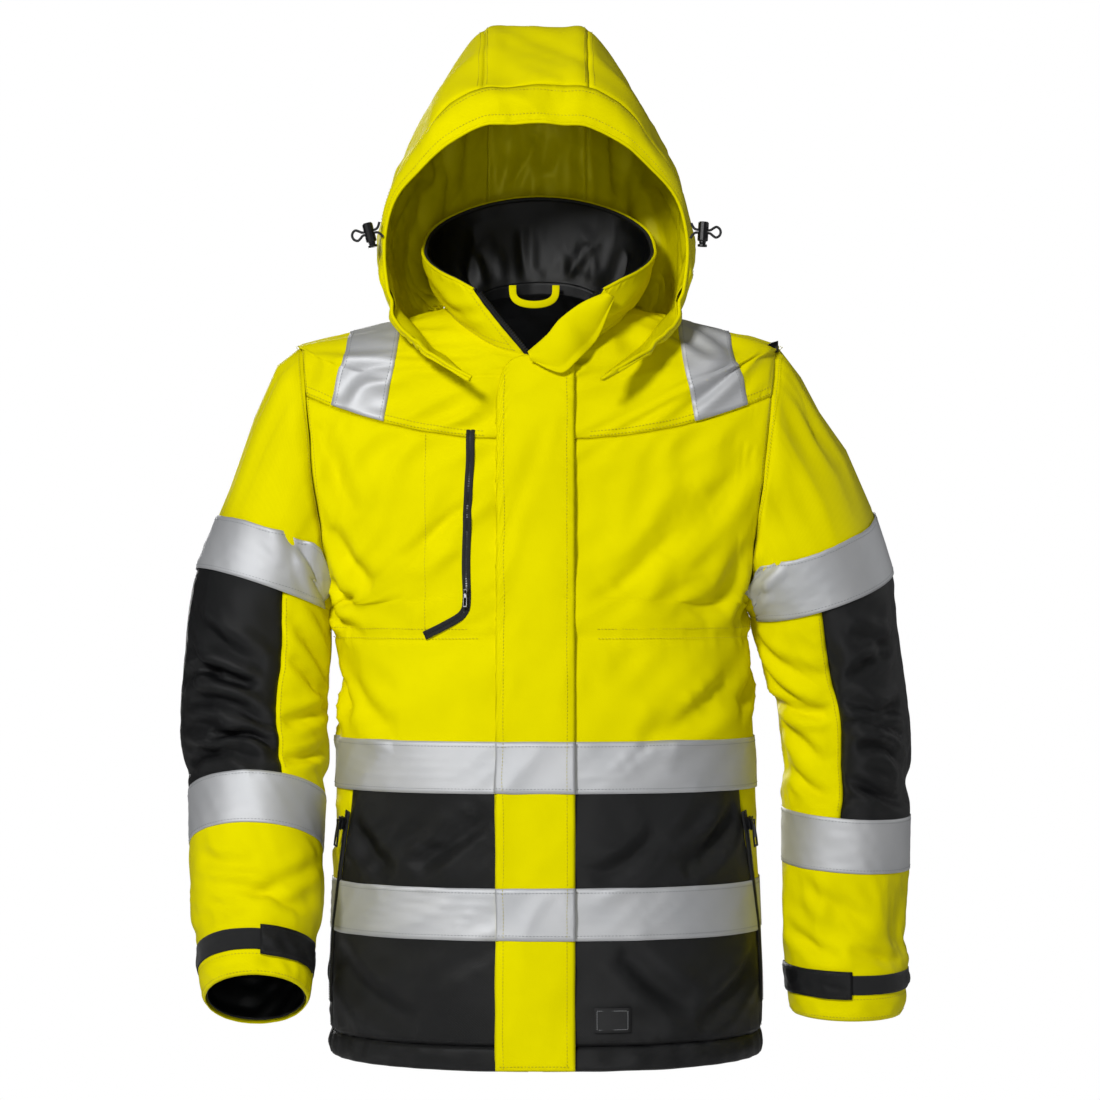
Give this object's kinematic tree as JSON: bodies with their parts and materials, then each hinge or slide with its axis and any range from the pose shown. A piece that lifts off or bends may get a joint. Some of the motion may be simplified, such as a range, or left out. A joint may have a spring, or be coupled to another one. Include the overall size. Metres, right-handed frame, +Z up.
{
  "type": "foul weather jacket",
  "caption": "Hooded, padded high-visibility foul-weather work jacket with reflective tapes, storm flap over a full-length zip and zipped pockets, shown as worn.",
  "frame": {"origin": "middle of the base of the wearer's neck", "axes": "+Z up, the wearer faces -Y, +X is towards the wearer's left hand"},
  "size_m": [0.7296, 0.337, 1.0211],
  "materials": {
    "yellow_shell": "fluorescent yellow coated polyester, matte",
    "black_shell": "black twill polyester, satin",
    "lining": "black lining, slightly glossy",
    "reflective_tape": "silver retroreflective glass-bead tape",
    "hook_and_loop": "black hook and loop tape, napped",
    "black_plastic": "black moulded plastic",
    "black_metal": "black lacquered zinc",
    "zip_tape": "black woven zip tape with moulded teeth",
    "cord": "black braided elastic cord",
    "label": "black woven label, blank"
  },
  "bodies": {
    "jacket": {"back_panel": "yellow_shell", "back_skirt": "black_shell", "back_yoke": "yellow_shell", "body_lining": "lining", "brace_tape_left": "reflective_tape", "brace_tape_right": "reflective_tape", "chest_panel_left": "yellow_shell", "chest_panel_right": "yellow_shell", "chest_zip_welt": "zip_tape", "collar_flap": "yellow_shell", "collar_lining": "lining", "collar_shell": "yellow_shell", "front_yoke_left": "yellow_shell", "front_yoke_right": "yellow_shell", "hanger_loop": "yellow_shell", "hem_band": "black_shell", "main_zip_left": "zip_tape", "main_zip_right": "zip_tape", "pocket_panel_left": "black_shell", "pocket_panel_right": "black_shell", "side_zip_left": "zip_tape", "side_zip_right": "zip_tape", "waist_tape_lower": "reflective_tape", "waist_tape_upper": "reflective_tape", "woven_label": "label"},
    "storm_flap": {"storm_flap": "yellow_shell", "flap_tape_upper": "reflective_tape", "flap_tape_lower": "reflective_tape"},
    "main_slider": {"main_zip_slider": "black_metal"},
    "chest_slider": {"chest_zip_slider": "black_metal"},
    "sleeve_right": {"upper_sleeve_right": "yellow_shell", "elbow_panel_right": "black_shell", "forearm_panel_right": "yellow_shell", "lower_sleeve_right": "yellow_shell", "upper_sleeve_tape_right": "reflective_tape", "lower_sleeve_tape_right": "reflective_tape", "cuff_strip_right": "hook_and_loop"},
    "cuff_tab_right": {"cuff_tab_right": "hook_and_loop"},
    "side_slider_right": {"side_slider_right": "black_metal"},
    "side_puller_right": {"side_puller_right": "black_plastic"},
    "cordlock_plunger_right": {"cordlock_plunger_right": "black_plastic"},
    "sleeve_left": {"upper_sleeve_left": "yellow_shell", "elbow_panel_left": "black_shell", "forearm_panel_left": "yellow_shell", "lower_sleeve_left": "yellow_shell", "upper_sleeve_tape_left": "reflective_tape", "lower_sleeve_tape_left": "reflective_tape", "cuff_strip_left": "hook_and_loop"},
    "cuff_tab_left": {"cuff_tab_left": "hook_and_loop"},
    "side_slider_left": {"side_slider_left": "black_metal"},
    "side_puller_left": {"side_puller_left": "black_plastic"},
    "cordlock_plunger_left": {"cordlock_plunger_left": "black_plastic"},
    "hood": {"hood_centre_panel": "yellow_shell", "hood_side_right": "yellow_shell", "hood_side_left": "yellow_shell", "hood_brim": "yellow_shell", "cordlock_right": "black_plastic", "cordlock_left": "black_plastic", "drawcord_right": "cord", "drawcord_left": "cord"}
  },
  "joints": [
    {"name": "main_zip_slide", "type": "slide", "parent": "jacket", "child": "main_slider", "axis": [0, -0.0912, -0.9958], "range_m": [0, 0.6]},
    {"name": "storm_flap_hinge", "type": "hinge", "parent": "jacket", "child": "storm_flap", "pos_m": [0.035, -0.1245, -0.31], "axis": [0, 0.0912, 0.9958], "range_deg": [0, 105]},
    {"name": "chest_zip_slide", "type": "slide", "parent": "jacket", "child": "chest_slider", "axis": [0.0205, 0.077, 0.9968], "range_m": [0, 0.155]},
    {"name": "hood_fold", "type": "hinge", "parent": "jacket", "child": "hood", "pos_m": [-0.003, 0.098, 0.032], "axis": [-1, 0, 0], "range_deg": [0, 95]},
    {"name": "shoulder_right", "type": "hinge", "parent": "jacket", "child": "sleeve_right", "pos_m": [-0.2375, 0, -0.03], "axis": [0, 1, 0], "range_deg": [0, 35]},
    {"name": "cuff_tab_hinge_right", "type": "hinge", "parent": "sleeve_right", "child": "cuff_tab_right", "pos_m": [-0.2146, -0.1317, -0.6287], "axis": [0.046, 0.4359, 0.8988], "range_deg": [0, 80]},
    {"name": "side_zip_slide_right", "type": "slide", "parent": "jacket", "child": "side_slider_right", "axis": [-0.1207, 0.1641, -0.979], "range_m": [0, 0.1]},
    {"name": "side_puller_hinge_right", "type": "hinge", "parent": "side_slider_right", "child": "side_puller_right", "pos_m": [-0.19648, -0.06509, -0.49945], "axis": [-0.4861, 0.8501, 0.2025], "range_deg": [0, 20]},
    {"name": "cordlock_press_right", "type": "slide", "parent": "hood", "child": "cordlock_plunger_right", "axis": [-0.2501, 0, 0.9682], "range_m": [0, 0.0023], "stiffness_N_per_m": 300, "springref_m": -0.003},
    {"name": "shoulder_left", "type": "hinge", "parent": "jacket", "child": "sleeve_left", "pos_m": [0.2375, 0, -0.03], "axis": [0, -1, 0], "range_deg": [0, 35]},
    {"name": "cuff_tab_hinge_left", "type": "hinge", "parent": "sleeve_left", "child": "cuff_tab_left", "pos_m": [0.2443, 0.0096, -0.66], "axis": [0.1, -0.05, -0.9937], "range_deg": [0, 40]},
    {"name": "side_zip_slide_left", "type": "slide", "parent": "jacket", "child": "side_slider_left", "axis": [0.1207, 0.1641, -0.979], "range_m": [0, 0.1]},
    {"name": "side_puller_hinge_left", "type": "hinge", "parent": "side_slider_left", "child": "side_puller_left", "pos_m": [0.21048, -0.06509, -0.49945], "axis": [-0.4861, -0.8501, -0.2025], "range_deg": [0, 150]},
    {"name": "cordlock_press_left", "type": "slide", "parent": "hood", "child": "cordlock_plunger_left", "axis": [0.06, 0, 0.9982], "range_m": [0, 0.0023], "stiffness_N_per_m": 300, "springref_m": -0.003}
  ]
}
